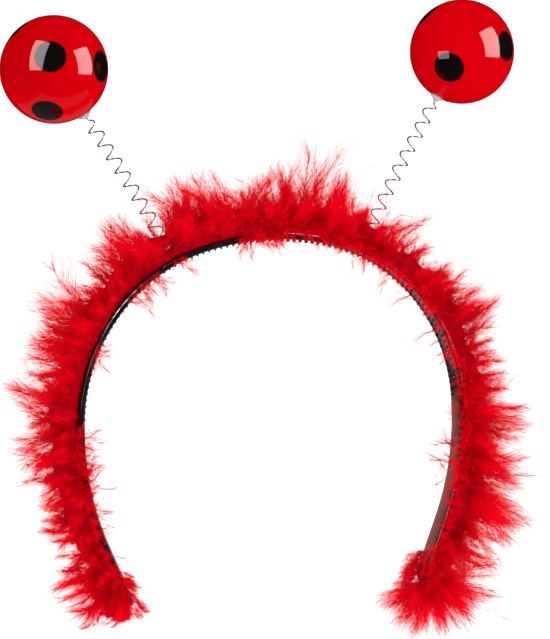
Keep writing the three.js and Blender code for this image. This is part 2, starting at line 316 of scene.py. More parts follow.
corners = [e for e in bm.edges if runs_along(e, 2)]
bmesh.ops.bevel(bm, geom=corners, offset=TIP_ROUNDING, segments=10, profile=0.5, affect="EDGES", material=-1)
rim = [e for e in bm.edges if not runs_along(e, 2) and e.calc_face_angle(0) > 1]
bmesh.ops.bevel(bm, geom=rim, offset=BAND_EDGE, segments=4, profile=0.5, affect="EDGES", material=-1)
long_edges = [e for e in bm.edges if e.calc_length() > HALF_LENGTH]
bmesh.ops.subdivide_edges(bm, edges=long_edges, cuts=BAND_CUTS, use_grid_fill=True)

half_count = int(TOOTHED_REACH / TOOTH_SPACING)
for k in range(-half_count, half_count + 1):
    for row in (-0.5, 0.5):
        middle = (k * TOOTH_SPACING, row * TOOTH_ROW_SPACING, (TOOTH_ROOT - TOOTH_HEIGHT) / 2)
        peg = bmesh.ops.create_cone(
            bm, cap_ends=True, segments=10, radius1=TOOTH_END_RADIUS, radius2=0.5 * TOOTH_DIAMETER,
            depth=TOOTH_HEIGHT + TOOTH_ROOT, matrix=Matrix.Translation(middle))
        end = [e for e in {e for v in peg["verts"] for e in v.link_edges}
               if all(v.co.z < -0.9 * TOOTH_HEIGHT for v in e.verts)]
        bmesh.ops.bevel(bm, geom=end, offset=TOOTH_ROUNDING, segments=2, profile=0.5, affect="EDGES",
                        material=-1)
bend_bmesh(bm)


def post_matrix(side):
    """Where a post stands on the outside of the band, with Z along it."""
    heights = [BAND_THICKNESS, BAND_THICKNESS + POST_HEIGHT]
    foot, top = (Vector(p) for p in bend([[side * POST_PLACE, 0, height] for height in heights]))
    turn = (top - foot).to_track_quat("Z", "Y")
    return Matrix.Translation(foot) @ turn.to_matrix().to_4x4()


post_radius = (COIL_DIAMETER - WIRE) / 2 - CLEARANCE
for side, _, _ in BOPPERS.values():
    peg = bmesh.ops.create_cone(
        bm, cap_ends=True, segments=32, radius1=post_radius, radius2=post_radius,
        depth=POST_HEIGHT + BAND_THICKNESS / 2,
        matrix=post_matrix(side) @ Matrix.Translation((0, 0, (POST_HEIGHT - BAND_THICKNESS / 2) / 2)))
    flat_ends = [f for f in {f for v in peg["verts"] for f in v.link_faces} if len(f.verts) > 4]
    ends = [e for f in flat_ends for e in f.edges]
    bmesh.ops.bevel(bm, geom=ends, offset=POST_ROUNDING, segments=3, profile=0.5, affect="EDGES", material=-1)
hair_band = new_piece("hair_band", mesh_from(bm, "hair_band"), "band", moulded_polystyrene)
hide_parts("headband")
print("hair band faces", len(hair_band.data.polygons))

# %% [markdown]
# ## Where each spring leads
# A spring leaves the band along its post and bends outward to its ball. Its axis is a curve with one control
# point. The same curve gives the ball's place and the direction in which the wire enters it.

# %% Bopper lines


def bopper_line(side, lean, reach):
    """Ball centre, the wire's direction into the ball, and the points of the axis."""
    foot, above = (Vector(p) for p in bend([[side * POST_PLACE, 0, BAND_THICKNESS + h] for h in (0, 1 * MM)]))
    upright = (above - foot).normalized()
    way = Vector((side * math.sin(math.radians(lean)), 0, math.cos(math.radians(lean))))
    centre = foot + way * (reach + BALL_DIAMETER / 2)
    control = foot + upright * reach / 3
    arrival = (centre - control).normalized()
    skin = centre - arrival * BALL_DIAMETER / 2
    t = np.linspace(0, 1, 400)[:, None]
    axis = (1 - t) ** 2 * np.array(foot) + 2 * t * (1 - t) * np.array(control) + t ** 2 * np.array(skin)
    return centre, arrival, axis


lines = {name: bopper_line(*sizes) for name, sizes in BOPPERS.items()}
for name, (centre, _, _) in lines.items():
    print(name, "ball at", [round(v / MM, 1) for v in centre], "mm")

# %% [markdown]
# ## Spring steel
# Springs are wound from hard-drawn steel wire, which stays bright. Drawing leaves fine lines along the wire,
# too thin to see, that widen its highlights a little.

# %% Material: drawn spring steel
drawn_spring_steel = new_material("drawn_spring_steel")
place = add(drawn_spring_steel, "TexCoord")
drawing = add(drawn_spring_steel, "TexNoise", {"Vector": place.outputs["Object"], "Scale": 1 / (1.5 * MM)})
brightness = add(drawn_spring_steel, "MapRange", {
    "Value": drawing.outputs["Fac"], "From Min": 0.3, "From Max": 0.7, "To Min": 0.18, "To Max": 0.34})
steel = add(drawn_spring_steel, "BsdfPrincipled", {
    "Base Color": linear("#a9abae"), "Metallic": 1, "Roughness": brightness.outputs["Result"]})
add(drawn_spring_steel, "OutputMaterial", {"Surface": steel.outputs["BSDF"]})
print("material", drawn_spring_steel.name)

# %% [markdown]
# ## Springs
# A spring is one wire, so it is a curve with a round bevel that follows the middle of the wire: close turns
# round the post, open turns up to the ball, and a straight tail through the glue. It is turned into a mesh at
# the end, because the spring has to bend between the band and the ball as the ball nods.

# %% Springs
POINTS_PER_TURN = 24
WIRE_SIDES = 8


def wire_points(axis):
    """Points along the middle of a spring's wire, given the points of its axis."""
    lengths = np.concatenate([[0], np.cumsum(np.linalg.norm(np.diff(axis, axis=0), axis=1))])
    reach = lengths[-1]
    turns = CLOSE_TURNS + OPEN_TURNS
    tail = GLUE_HEIGHT + CLEARANCE + TAIL_DEPTH
    open_pitch = (reach + TAIL_DEPTH - tail - COIL_START_HEIGHT - CLOSE_TURNS * CLOSE_PITCH) / OPEN_TURNS
    turn = np.linspace(0, turns + 1, int((turns + 1) * POINTS_PER_TURN))
    height = (COIL_START_HEIGHT + np.minimum(turn, CLOSE_TURNS) * CLOSE_PITCH
              + np.clip(turn - CLOSE_TURNS, 0, OPEN_TURNS) * open_pitch + np.maximum(turn - turns, 0) * tail)
    on_axis = np.column_stack([np.interp(np.minimum(height, reach), lengths, axis[:, k]) for k in range(3)])
    slopes = np.gradient(axis, lengths, axis=0)
    tangent = np.column_stack([np.interp(np.minimum(height, reach), lengths, slopes[:, k]) for k in range(3)])
    tangent /= np.linalg.norm(tangent, axis=1)[:, None]
    sideways = np.cross([0, 1, 0], tangent)
    closing = np.clip((turns - turn) / 0.5, 0, 1)
    radius = COIL_DIAMETER / 2 * closing ** 2 * (3 - 2 * closing)
    angle = 2 * math.pi * (turn - turns + 0.25)
    around = sideways * np.cos(angle)[:, None] + np.array([0, 1, 0]) * np.sin(angle)[:, None]
    return on_axis + tangent * np.maximum(height - reach, 0)[:, None] + around * radius[:, None]


def curve_mesh(name, curve):
    """The mesh of a curve, at the origin."""
    holder = bpy.data.objects.new(name, curve)
    bpy.context.scene.collection.objects.link(holder)
    shown = holder.evaluated_get(bpy.context.evaluated_depsgraph_get())
    mesh = bpy.data.meshes.new_from_object(shown)
    bpy.data.objects.remove(holder)
    return mesh


for name, (centre, arrival, axis) in lines.items():
    points = wire_points(axis)
    curve = bpy.data.curves.new(f"wire_{name}", "CURVE")
    curve.dimensions = "3D"
    curve.bevel_depth = WIRE / 2
    curve.bevel_resolution = WIRE_SIDES // 2 - 2
    curve.use_fill_caps = True
    spline = curve.splines.new("POLY")
    spline.points.add(len(points) - 1)
    spline.points.foreach_set("co", np.column_stack([points, np.ones(len(points))]).ravel())
    wire = new_piece(f"wire_{name}", curve_mesh(f"wire_{name}", curve), None, drawn_spring_steel)
    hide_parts(f"spring_{name}")
    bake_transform(wire)
    print(wire.name, "faces", len(wire.data.polygons))

# %% [markdown]
# ## Ball lacquer and dots
# The balls are light hollow plastic, sprayed with gloss red lacquer. The dots are black lacquer, printed on
# top. Each dot is a circle on the ball, so it is where the direction from the ball's centre lies within a
# fixed angle of the dot's own direction. The dots that the photograph shows are placed from it, and the rest
# fill the back.

# %% Material: sprayed lacquer with printed dots
DOT_ANGLE = math.radians(17)
DOT_EDGE = 0.006  # softness of a printed edge, in cosine
DOTS = {  # right and up of the ball's middle as the camera sees it, in ball radii; 1 is the near side
    "left": [(-0.064, 0.24, 1), (0.887, 0.057, 1), (-0.132, -0.783, 1), (-0.683, 0.73, 1),
             (0.25, 0.85, -1), (-0.6, 0.0, -1), (0.35, -0.1, -1), (0.1, -0.75, -1)],
    "right": [(-0.25, -0.305, 1), (0.865, 0.11, 1), (-0.686, 0.723, 1), (-0.93, -0.2, -1),
              (0.3, 0.62, -1), (-0.35, 0.1, -1), (0.42, -0.25, -1), (-0.1, -0.85, -1)],
}


def dot_directions(centre, dots):
    """Directions from a ball's centre to its dots."""
    near = (camera_place - centre).normalized()
    right = (picture_right - near * picture_right.dot(near)).normalized()
    up = near.cross(right)
    ways = []
    for x, y, side in dots:
        depth = math.sqrt(max(0, 1 - x * x - y * y))
        ways.append((right * x + up * y + near * depth * side).normalized())
    return ways


def lacquer(name, centre):
    """Red lacquer with this ball's dots."""
    material = new_material(f"sprayed_lacquer_{name}")
    place = add(material, "TexCoord")
    around = add(material, "VectorMath", {0: place.outputs["Object"], 1: centre}, operation="SUBTRACT")
    way = add(material, "VectorMath", {0: around.outputs["Vector"]}, operation="NORMALIZE")
    rim = math.cos(DOT_ANGLE)
    dots = None
    for direction in dot_directions(centre, DOTS[name]):
        nearness = add(material, "VectorMath", {0: way.outputs["Vector"], 1: direction},
                       operation="DOT_PRODUCT")
        disc = add(material, "MapRange", {
            "Value": nearness.outputs["Value"],
            "From Min": rim - DOT_EDGE / 2, "From Max": rim + DOT_EDGE / 2})
        if dots is None:
            dots = disc.outputs["Result"]
        else:
            both = add(material, "Math", {0: dots, 1: disc.outputs["Result"]}, operation="MAXIMUM")
            dots = both.outputs["Value"]
    spray = add(material, "TexNoise", {
        "Vector": place.outputs["Object"], "Scale": 1 / (9 * MM), "Detail": 3.0})
    red = add(material, "Mix", {
        "Factor": spray.outputs["Fac"], "A": linear("#c6000b"), "B": linear("#b80009")}, data_type="RGBA")
    paint = add(material, "Mix", {
        "Factor": dots, "A": red.outputs[2], "B": linear("#0b0908")}, data_type="RGBA")
    peel = add(material, "TexNoise", {"Vector": place.outputs["Object"], "Scale": 1 / (1.2 * MM)})
    relief = add(material, "Bump", {"Height": peel.outputs["Fac"], "Strength": 0.1, "Distance": 0.03 * MM})
    gloss = add(material, "BsdfPrincipled", {
        "Base Color": paint.outputs[2], "Roughness": 0.4, "IOR": 1.5, "Specular IOR Level": 0.0,
        "Coat Weight": 1.0, "Coat Roughness": 0.03, "Coat IOR": 1.5,
        "Normal": relief.outputs["Normal"], "Coat Normal": relief.outputs["Normal"]})
    add(material, "OutputMaterial", {"Surface": gloss.outputs["BSDF"]})
    return material


# %% [markdown]
# ## Balls
# A ball starts as a sphere whose pole faces the spring. The pole is opened into the small hole for the wire,
# and the shell is given its wall inward, so that it is hollow as the real one is.

# %% Balls


def pointing(centre, arrival):
    """Matrix that stands a shape made along Z at a ball's centre."""
    return Matrix.Translation(centre) @ arrival.to_track_quat("Z", "Y").to_matrix().to_4x4()


hole_radius = WIRE / 2 + CLEARANCE
for name, (centre, arrival, axis) in lines.items():
    bm = bmesh.new()
    bmesh.ops.create_uvsphere(bm, u_segments=96, v_segments=60, radius=BALL_DIAMETER / 2)
    pole = min(bm.verts, key=lambda v: v.co.z)
    first_ring = [e.other_vert(pole) for e in pole.link_edges]
    bmesh.ops.delete(bm, geom=[pole], context="VERTS")
    for vert in first_ring:
        flat = Vector((vert.co.x, vert.co.y, 0)).normalized() * hole_radius
        vert.co = flat + Vector((0, 0, -math.sqrt((BALL_DIAMETER / 2) ** 2 - hole_radius ** 2)))
    bmesh.ops.recalc_face_normals(bm, faces=bm.faces)
    bmesh.ops.solidify(bm, geom=bm.faces[:], thickness=BALL_WALL)
    bmesh.ops.transform(bm, matrix=pointing(centre, arrival), verts=bm.verts)
    shell = new_piece(f"dotted_ball_{name}", mesh_from(bm, f"dotted_ball_{name}"), f"bopper_{name}",
                      lacquer(name, centre))
    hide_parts(f"ball_{name}")
    print(shell.name, "faces", len(shell.data.polygons))

# %% [markdown]
# ## Hot glue
# A drop of hot-melt glue holds the wire in each ball. It sets to a waxy, cloudy clear and keeps the soft
# rounded shape in which it ran. Its colour has a painted pink tinge, a painted reflection of the red ball
# under it.

# %% Material: hot-melt glue
hot_melt_glue = new_material("hot_melt_glue")
place = add(hot_melt_glue, "TexCoord")
ripples = add(hot_melt_glue, "TexNoise", {"Vector": place.outputs["Object"], "Scale": 1 / (1.5 * MM)})
ripple_relief = add(hot_melt_glue, "Bump", {
    "Height": ripples.outputs["Fac"], "Strength": 0.5, "Distance": 0.3 * MM})
wax = add(hot_melt_glue, "BsdfPrincipled", {
    # The pale pink of the base colour is a painted reflection of the red ball under the glue.
    "Base Color": linear("#f0dcd8"), "IOR": 1.48, "Roughness": 0.22, "Transmission Weight": 0.55,
    "Subsurface Weight": 0.4, "Subsurface Radius": (1.5 * MM, 1.2 * MM, 1.2 * MM), "Subsurface Scale": 1.0,
    "Normal": ripple_relief.outputs["Normal"]})
add(hot_melt_glue, "OutputMaterial", {"Surface": wax.outputs["BSDF"]})
print("material", hot_melt_glue.name)

# %% Glue drops
GLUE_PROFILE = [  # out as a share of the diameter, and up as a share of the height
    (0.5, 0.0), (0.49, 0.14), (0.4, 0.36), (0.26, 0.66), (0.2, 0.95),
]
GLUE_INNER_RADIUS = 0.25 * GLUE_DIAMETER
for name, (centre, arrival, axis) in lines.items():
    bm = bmesh.new()
    bed = BALL_DIAMETER / 2 + CLEARANCE
    ring = []
    for out, up in GLUE_PROFILE:
        radius = out * GLUE_DIAMETER
        seat = math.sqrt(bed ** 2 - radius ** 2)
        ring.append(bm.verts.new((radius, 0, -(seat + (BALL_DIAMETER / 2 + GLUE_HEIGHT - seat) * up))))
    ring.append(bm.verts.new((hole_radius, 0, ring[-1].co.z - 0.1 * MM)))
    for radius in (hole_radius, GLUE_INNER_RADIUS):
        ring.append(bm.verts.new((radius, 0, -math.sqrt(bed ** 2 - radius ** 2))))
    edges = [bm.edges.new((a, b)) for a, b in zip(ring, ring[1:] + ring[:1])]
    bmesh.ops.spin(bm, geom=ring + edges, cent=(0, 0, 0), axis=(0, 0, 1), angle=2 * math.pi, steps=32,
                   use_merge=True)
    bmesh.ops.remove_doubles(bm, verts=bm.verts, dist=0.001 * MM)
    bmesh.ops.recalc_face_normals(bm, faces=bm.faces)
    bmesh.ops.transform(bm, matrix=pointing(centre, arrival), verts=bm.verts)
    drop = new_piece(f"glue_drop_{name}", mesh_from(bm, f"glue_drop_{name}"), f"bopper_{name}", hot_melt_glue)
    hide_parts(f"glue_{name}")
    print(drop.name, "faces", len(drop.data.polygons))

# %% [markdown]
# ## Marabou
# A marabou boa is made of the soft down feathers of a fowl, dyed and wound round a thread. Each feather has a
# thin rib, and barbs that are so fine and loose that they float. Dyed red barbs let light through, which
# gives the trim its glow and its pink edges. Each barb carries a depth value: 0 is the deepest red. The value
# is lower for barbs that start near their plume's root and for the core, which is painted shade deep in the
# trim; the rest of it is the dye's own tone, which differs at random.

# %% Material: dyed marabou
dyed_marabou = new_material("dyed_marabou")
place = add(dyed_marabou, "TexCoord")
dye = add(dyed_marabou, "TexNoise", {"Vector": place.outputs["Object"], "Scale": 1 / (7 * MM), "Detail": 4.0})
# The depth attribute darkens the red where it is low: partly painted shade deep in the trim, partly the dye's
# random tone.
depth = add(dyed_marabou, "Attribute", attribute_name="depth")
level = add(dyed_marabou, "Math", {0: depth.outputs["Fac"], 1: dye.outputs["Fac"]}, operation="ADD",
            use_clamp=True)
red = add(dyed_marabou, "Mix", {
    "Factor": level.outputs["Value"], "A": linear("#a20013"), "B": linear("#f20028")}, data_type="RGBA")
barb = add(dyed_marabou, "BsdfPrincipled", {
    "Base Color": red.outputs[2], "Roughness": 0.8, "Specular IOR Level": 0.05})
glow = add(dyed_marabou, "BsdfTranslucent", {"Color": red.outputs[2]})
through = add(dyed_marabou, "MixShader", {0: 0.55, 1: barb.outputs["BSDF"], 2: glow.outputs["BSDF"]})
add(dyed_marabou, "OutputMaterial", {"Surface": through.outputs["Shader"]})
print("material", dyed_marabou.name)

# %% [markdown]
# ## Feather trim
# Hair curves would be lost in the exported part, so each barb is a narrow ribbon that a curve draws, tapering
# to its tip. The barbs stand on the ribs of small plumes, and the plumes stand round a core of dense down
# along the band. Plumes near each other lean together, which parts the trim into locks. All of it is drawn
# flat and then bent, as the band was.

# %% Fullness of the trim
FULLNESS = [  # place from the left tip (-1) over the crown (0) to the right tip (1), and how full the trim is
    (-1, 0.9), (-0.955, 1.15), (-0.92, 1.15), (-0.88, 0.6), (-0.84, 0.6), (-0.8, 0.9), (-0.72, 0.85),
    (-0.68, 1.1), (-0.62, 1), (-0.575, 1.15), (-0.54, 0.75), (-0.47, 1.2), (-0.41, 1.3), (-0.37, 0.85),
    (-0.335, 0.5), (-0.3, 1.05), (-0.2, 1.2), (-0.16, 1.35), (-0.09, 1.1), (-0.02, 1.1), (0.015, 1.1),
    (0.045, 1.45), (0.15, 1.35), (0.18, 1.1), (0.22, 1.25), (0.25, 0.7), (0.33, 0.6), (0.36, 1.1),
    (0.39, 0.7), (0.46, 1.2), (0.495, 0.55), (0.54, 0.8), (0.6, 1.05), (0.63, 1.5), (0.7, 1.25),
    (0.77, 1.6), (0.84, 1.55), (0.87, 0.95), (0.91, 1.05), (0.945, 0.8), (0.98, 1.6), (1, 1.8),
]
WHOLE = [(-1, 1)]  # stretches of the band are shares of its half length
BARE_STRETCHES = [(-0.62, -0.06), (0.42, 0.57)]  # where the front edge of the band shows
COVER_STRETCHES = [(-1, -0.62), (-0.06, 0.43), (0.5, 1)]  # where down hangs over it
STRAY_STRETCHES = [  # where thin plumes reach inward past it
    (-0.8, -0.62), (-0.47, -0.44), (-0.34, -0.25), (-0.215, -0.19), (-0.07, 0.01), (0.17, 0.4), (0.45, 0.5),
    (0.7, 0.78),
]


def within(shares, stretches):
    """Whether places, as shares of the half length, lie in any of the stretches."""
    return np.any([(shares >= a) & (shares <= b) for a, b in stretches], axis=0)


def fullness(along):
    """How full the trim is at places along the band."""
    places, shares = zip(*FULLNESS)
    return np.interp(np.clip(along / HALF_LENGTH, -1, 1), places, shares)


# %% Core of dense down
CORE_RADIUS = 4.7 * MM  # across the band; it stands higher than it is wide
CORE_STEEPNESS = 1.6
CORE_LIFT = 1 * MM
CORE_CUTS = 240
# The core's low depth value darkens its red: painted shade, as the core lies deep in the trim.
CORE_PAINTED_SHADE = 0.15
BARE_BACK = 1.8 * MM  # how far the core stands back where the band's front edge shows
CORE_LUMPS = [(0.3, 6 * MM), (0.2, 1.6 * MM)]  # height and size
bm = bmesh.new()
bmesh.ops.create_cone(bm, cap_ends=True, segments=28, radius1=CORE_RADIUS, radius2=CORE_RADIUS,
                      depth=2 * HALF_LENGTH, matrix=Matrix.Rotation(math.pi / 2, 4, "Y"))
long_edges = [e for e in bm.edges if runs_along(e, 0)]
bmesh.ops.subdivide_edges(bm, edges=long_edges, cuts=CORE_CUTS, use_grid_fill=True)
for vert in bm.verts:
    swell = 0.4 + 0.6 * fullness(vert.co.x)
    for height, size in CORE_LUMPS:
        swell += height * noise.noise(vert.co / size)
    bare = within(vert.co.x / HALF_LENGTH, BARE_STRETCHES)
    vert.co.y = vert.co.y * swell + bare * BARE_BACK * (vert.co.y < 0)
    vert.co.z = max(CLEARANCE, vert.co.z * swell * CORE_STEEPNESS + CORE_LIFT) + BAND_THICKNESS
bend_bmesh(bm)
down_core = new_piece("down_core", mesh_from(bm, "down_core"), "band", dyed_marabou)
depth = down_core.data.attributes.new("depth", "FLOAT", "POINT")
depth.data.foreach_set("value", np.full(len(down_core.data.vertices), CORE_PAINTED_SHADE))
print(down_core.name, "faces", len(down_core.data.polygons))

# %% Locks
random = np.random.default_rng(7)
LOCKS = 240
LOCK_WIDTH = 7 * MM
LOCK_TURN = math.radians(38)
DROOPING = [(0.6, 1)]  # the stretch whose locks lean towards the tip
DROOP = 0.22
PARTING = 6 * MM  # half width of the gap in the trim round each post
PARTING_LEAN = 0.4
PARTING_TRIM = 0.3


def places_in(stretches, count):
    """Places by chance along the stretches, closer together where the trim is full."""
    fine = np.linspace(-1, 1, 800)
    heap = np.cumsum(within(fine, stretches) * fullness(fine * HALF_LENGTH))
    picks = (np.arange(count) + random.random(count)) / count * heap[-1]
    return HALF_LENGTH * np.interp(picks, heap, fine)


lock_along = places_in(WHOLE, LOCKS)
lock_fan = np.radians(random.uniform(-105, 105, LOCKS))
lock_lean = random.normal(0, 0.28, LOCKS) + DROOP * within(lock_along / HALF_LENGTH, DROOPING)
lock_share = random.uniform(0.85, 1.15, LOCKS)
lock_shade = random.random(LOCKS)


def lock_of(along, fan):
    """Number of the lock that each plume lies in: the one with the nearest middle."""
    away = np.hypot((along[:, None] - lock_along) / LOCK_WIDTH, (fan[:, None] - lock_fan) / LOCK_TURN)
    return np.argmin(away, axis=1)


def parted(along, way, length):
    """Leans and shortens the plumes next to a post, so that its spring comes out of a parting."""
    for post in (-POST_PLACE, POST_PLACE):
        near = np.exp(-((along - post) / PARTING) ** 2)
        way = way + np.outer(PARTING_LEAN * near * np.sign(along - post), [1, 0, 0])
        length = length * (1 - PARTING_TRIM * near)
    return unit(way), length


print("locks", LOCKS)

# %% Plumes
SIDE_PLUMES = 650
COMB_PLUMES = 700
COVER_PLUMES = 560
TIP_PLUMES = {-1: 30, 1: 45}  # past the left tip and past the right one
TIP_REACH = {-1: 7 * MM, 1: 27 * MM}
SKIRT_PLUMES = 90
STRAY_PLUMES = 190
WISP_PLUMES = 260
KINDS = {  # barbs on a plume, and the degrees that the lowest of them spread
    "long": (118, 54), "short": (44, 72), "cover": (26, 70), "stray": (24, 52), "wisp": (9, 48),
}
BARB_POINTS = 4
BARB_WIDTH = 0.14 * MM
RIB_WIDTH = 0.18 * MM
ROOT_HEIGHT = BAND_THICKNESS + 2.5 * MM
ROOT_RADIUS = 3 * MM
COMB_RADIUS = 5 * MM
COVER_SLIP = 0.15 * HALF_LENGTH  # right of here the down has slipped further inward
SKIRT_LENGTH = 4 * MM

# Each function whose name ends in plumes returns their roots, directions, lengths, curls and shades.


def unit(rows):
    return rows / np.linalg.norm(rows, axis=1)[:, None]


def rows_of(*columns):
    """Vectors from their coordinates, each a number or one for every row."""
    return np.column_stack(np.broadcast_arrays(*columns))


def round_core(along, fan, radius):
    """Places round the core at an angle from straight up, to the back where it is positive."""
    return rows_of(along, radius * np.sin(fan), ROOT_HEIGHT + radius * np.cos(fan))


def across_to(way):
    """Unit vectors across the given ones, turned about them by chance."""
    chance = random.normal(size=way.shape)
    return unit(chance - way * np.sum(chance * way, axis=1)[:, None])


def bending(way, most):
    """By how much each plume's rib curls away from its first direction."""
    return across_to(way) * random.uniform(0, most, len(way))[:, None]


def side_plumes():
    """The long plumes along the band, gathered in locks."""
    along = places_in(WHOLE, SIDE_PLUMES)
    foremost = np.where(within(along / HALF_LENGTH, BARE_STRETCHES), -76, -100)
    fan = np.radians(random.uniform(foremost, 100))
    lock = lock_of(along, fan)
    gather = 0.4 * (lock_along[lock] - along) / FLUFF_REACH
    fan_way = fan + 0.45 * np.clip(lock_fan[lock] - fan, -LOCK_TURN, LOCK_TURN)
    lean = lock_lean[lock] + gather + random.normal(0, 0.16, SIDE_PLUMES)
    way = rows_of(lean, np.sin(fan_way), np.cos(fan_way))
    root = round_core(along, fan, ROOT_RADIUS)
    length = FLUFF_REACH * fullness(lock_along[lock]) * lock_share[lock]
    length = length * random.uniform(0.55, 1, SIDE_PLUMES)
    way, length = parted(along, way, length * (1 - 0.3 * np.abs(np.sin(fan))))
    curl = bending(way, 0.25)
    curl[:, 2] += 0.45 * np.abs(np.sin(fan))
    return root, way, length, curl, lock_shade[lock]


def wisp_plumes():
    """Long sparse plumes that stand out of the rest as single fine threads."""
    along = places_in(WHOLE, WISP_PLUMES)
    fan = np.radians(random.uniform(-70, 70, WISP_PLUMES))
    lock = lock_of(along, fan)
    lean = lock_lean[lock] + random.normal(0, 0.4, WISP_PLUMES)
    way = unit(rows_of(lean, np.sin(fan), np.cos(fan)))
    root = round_core(along, fan, ROOT_RADIUS)
    length = FLUFF_REACH * fullness(along) * random.uniform(0.8, 1.15, WISP_PLUMES)
    return root, way, length, bending(way, 0.35), random.random(WISP_PLUMES)


def comb_plumes():
    """Short plumes combed outward over the front and back of the core, from the band's edges up."""
    along = places_in(WHOLE, COMB_PLUMES)
    front = np.where(random.random(COMB_PLUMES) < 0.65, -1, 1)
    fan = front * np.radians(random.uniform(25, 118, COMB_PLUMES))
    lock = lock_of(along, fan)
    lean = lock_lean[lock] + random.normal(0, 0.4, COMB_PLUMES)
    way = rows_of(lean, 0.6 * np.sin(fan), 1)
    root = round_core(along, fan, COMB_RADIUS)
    way, length = parted(along, way, FLUFF_REACH * random.uniform(0.3, 0.5, COMB_PLUMES))
    return root, way, length, bending(way, 0.35), lock_shade[lock]


def cover_plumes():
    """Short plumes that hang over the front edge of the band, their ends swept outward or along it."""
    along = places_in(COVER_STRETCHES, COVER_PLUMES)
    lean = random.normal(0, 0.8, COVER_PLUMES)
    hang = np.where(along > COVER_SLIP, -0.8, -0.2) + random.uniform(-0.7, 0.7, COVER_PLUMES)
    way = unit(rows_of(lean, -1, hang))
    root = rows_of(along, -4.8 * MM, random.uniform(1.5, 5, COVER_PLUMES) * MM)
    length = FLUFF_REACH * random.uniform(0.22, 0.45, COVER_PLUMES)
    return root, way, length, bending(way, 0.35), random.random(COVER_PLUMES)


def tip_plumes(side):
    """The tuft past one tip, from the outside of the band round to its inside."""
    count = TIP_PLUMES[side]
    turn = np.radians(random.uniform(0, 150, count))
    fan = np.radians(random.uniform(-55, 55, count))
    way = unit(rows_of(side * np.sin(turn), np.tan(fan), np.cos(turn)))
    root = np.tile([side * (HALF_LENGTH - 1 * MM), 0, ROOT_HEIGHT], (count, 1))
    length = TIP_REACH[side] * random.uniform(0.65, 0.95, count)
    return root, way, length, bending(way, 0.25), random.random(count)


def skirt_plumes(side):
    """Short plumes all round the last stretch of the band, which hide its tip."""
    along = side * (HALF_LENGTH - random.uniform(-2, 13, SKIRT_PLUMES) * MM)
    fan = random.uniform(-math.pi, math.pi, SKIRT_PLUMES)
    way = unit(rows_of(side * random.uniform(0.7, 1.8, SKIRT_PLUMES), np.sin(fan), np.cos(fan)))
    root = rows_of(along, 5.2 * MM * np.sin(fan), BAND_THICKNESS / 2 + 2.5 * MM * np.cos(fan))
    length = (SKIRT_LENGTH + 0.2 * TIP_REACH[side]) * random.uniform(0.8, 1.3, SKIRT_PLUMES)
    return root, way, length, bending(way, 0.2), random.random(SKIRT_PLUMES)


def stray_plumes():
    """Thin plumes that reach inward past the edges of the band."""
    along = places_in(STRAY_STRETCHES, STRAY_PLUMES)
    front = np.where(random.random(STRAY_PLUMES) < 0.7, -1, 1)
    fan = front * np.radians(random.uniform(105, 150, STRAY_PLUMES))
    way = unit(rows_of(random.normal(0, 0.6, STRAY_PLUMES), np.sin(fan), np.cos(fan)))
    root = rows_of(along, front * (BAND_WIDTH / 2 + 0.5 * MM), BAND_THICKNESS)
    curl = bending(way, 0.4)
    curl[:, 1] -= 0.3 * front
    length = FLUFF_REACH * random.uniform(0.25, 0.7, STRAY_PLUMES)
    return root, way, length, curl, random.random(STRAY_PLUMES)


groups = [
    ("long", side_plumes()), ("long", tip_plumes(-1)), ("long", tip_plumes(1)),
    ("short", comb_plumes()), ("cover", cover_plumes()),
    ("short", skirt_plumes(-1)), ("short", skirt_plumes(1)),
    ("stray", stray_plumes()), ("wisp", wisp_plumes()),
]
columns = zip(*(group for _, group in groups))
root, way, length, curl, shade = (np.concatenate(column) for column in columns)
kind_rows = [np.tile(KINDS[kind], (len(group[0]), 1)) for kind, group in groups]
barbs_of, spread_of = np.concatenate(kind_rows).T
print("plumes", len(root))

# %% Barbs and ribs
TRIM_PIECES = ["left_arm", "left_shoulder", "left_crown", "right_crown", "right_shoulder", "right_arm"]
MOST_PROUD = 10 * MM  # past the solid model's box; longer barbs are left out
PRESSED_LEVEL = -133 * MM  # where the left tuft is pressed flat
PRESSED_SHARE = 0.15
RIB_SHARE = 0.75  # of the plume's length that its rib takes
HIGHEST_BARB = 0.72  # place of the last barb, as a share of the plume's length
SWEEP = 0.35  # how far a barb turns towards its rib's direction
WAVE = 0.14
LONG_FILAMENTS = 0.1  # share of the barbs
LONG_REACH = 1.7
RIB_DEPTH = -0.2
t = np.linspace(0, 1, BARB_POINTS)
plume = np.repeat(np.arange(len(root)), barbs_of)


def on_rib(plume, share):
    """Points on the ribs of plumes, and the ribs' directions there."""
    share = share[:, None]
    place = root[plume] + length[plume][:, None] * (way[plume] * share + curl[plume] * share ** 2)
    return place, unit(way[plume] + 2 * curl[plume] * share)


def barb_lines():
    """Points of each barb, as (barb, point, coordinate), and how far up its rib it starts."""
    start = random.random(len(plume)) ** 1.2 * HIGHEST_BARB
    base, rib_way = on_rib(plume, start)
    spread = np.radians(random.uniform(0.25, 1, len(plume)) * spread_of[plume] * (1 - 0.5 * start))
    barb_way = rib_way * np.cos(spread)[:, None] + across_to(rib_way) * np.sin(spread)[:, None]
    reach = length[plume] * random.uniform(0.3, 0.62, len(plume)) * (1.05 - 0.55 * start)
    reach *= np.where(random.random(len(plume)) < LONG_FILAMENTS, LONG_REACH, 1)
    easing = SWEEP * t ** 2
    lines = base[:, None, :] + reach[:, None, None] * (
        barb_way[:, None, :] * (t - easing)[None, :, None] + rib_way[:, None, :] * easing[None, :, None])
    wave = across_to(barb_way) * (reach * random.uniform(-WAVE, WAVE, len(plume)))[:, None]
    return lines + wave[:, None, :] * np.sin(1.5 * math.pi * t)[None, :, None], start


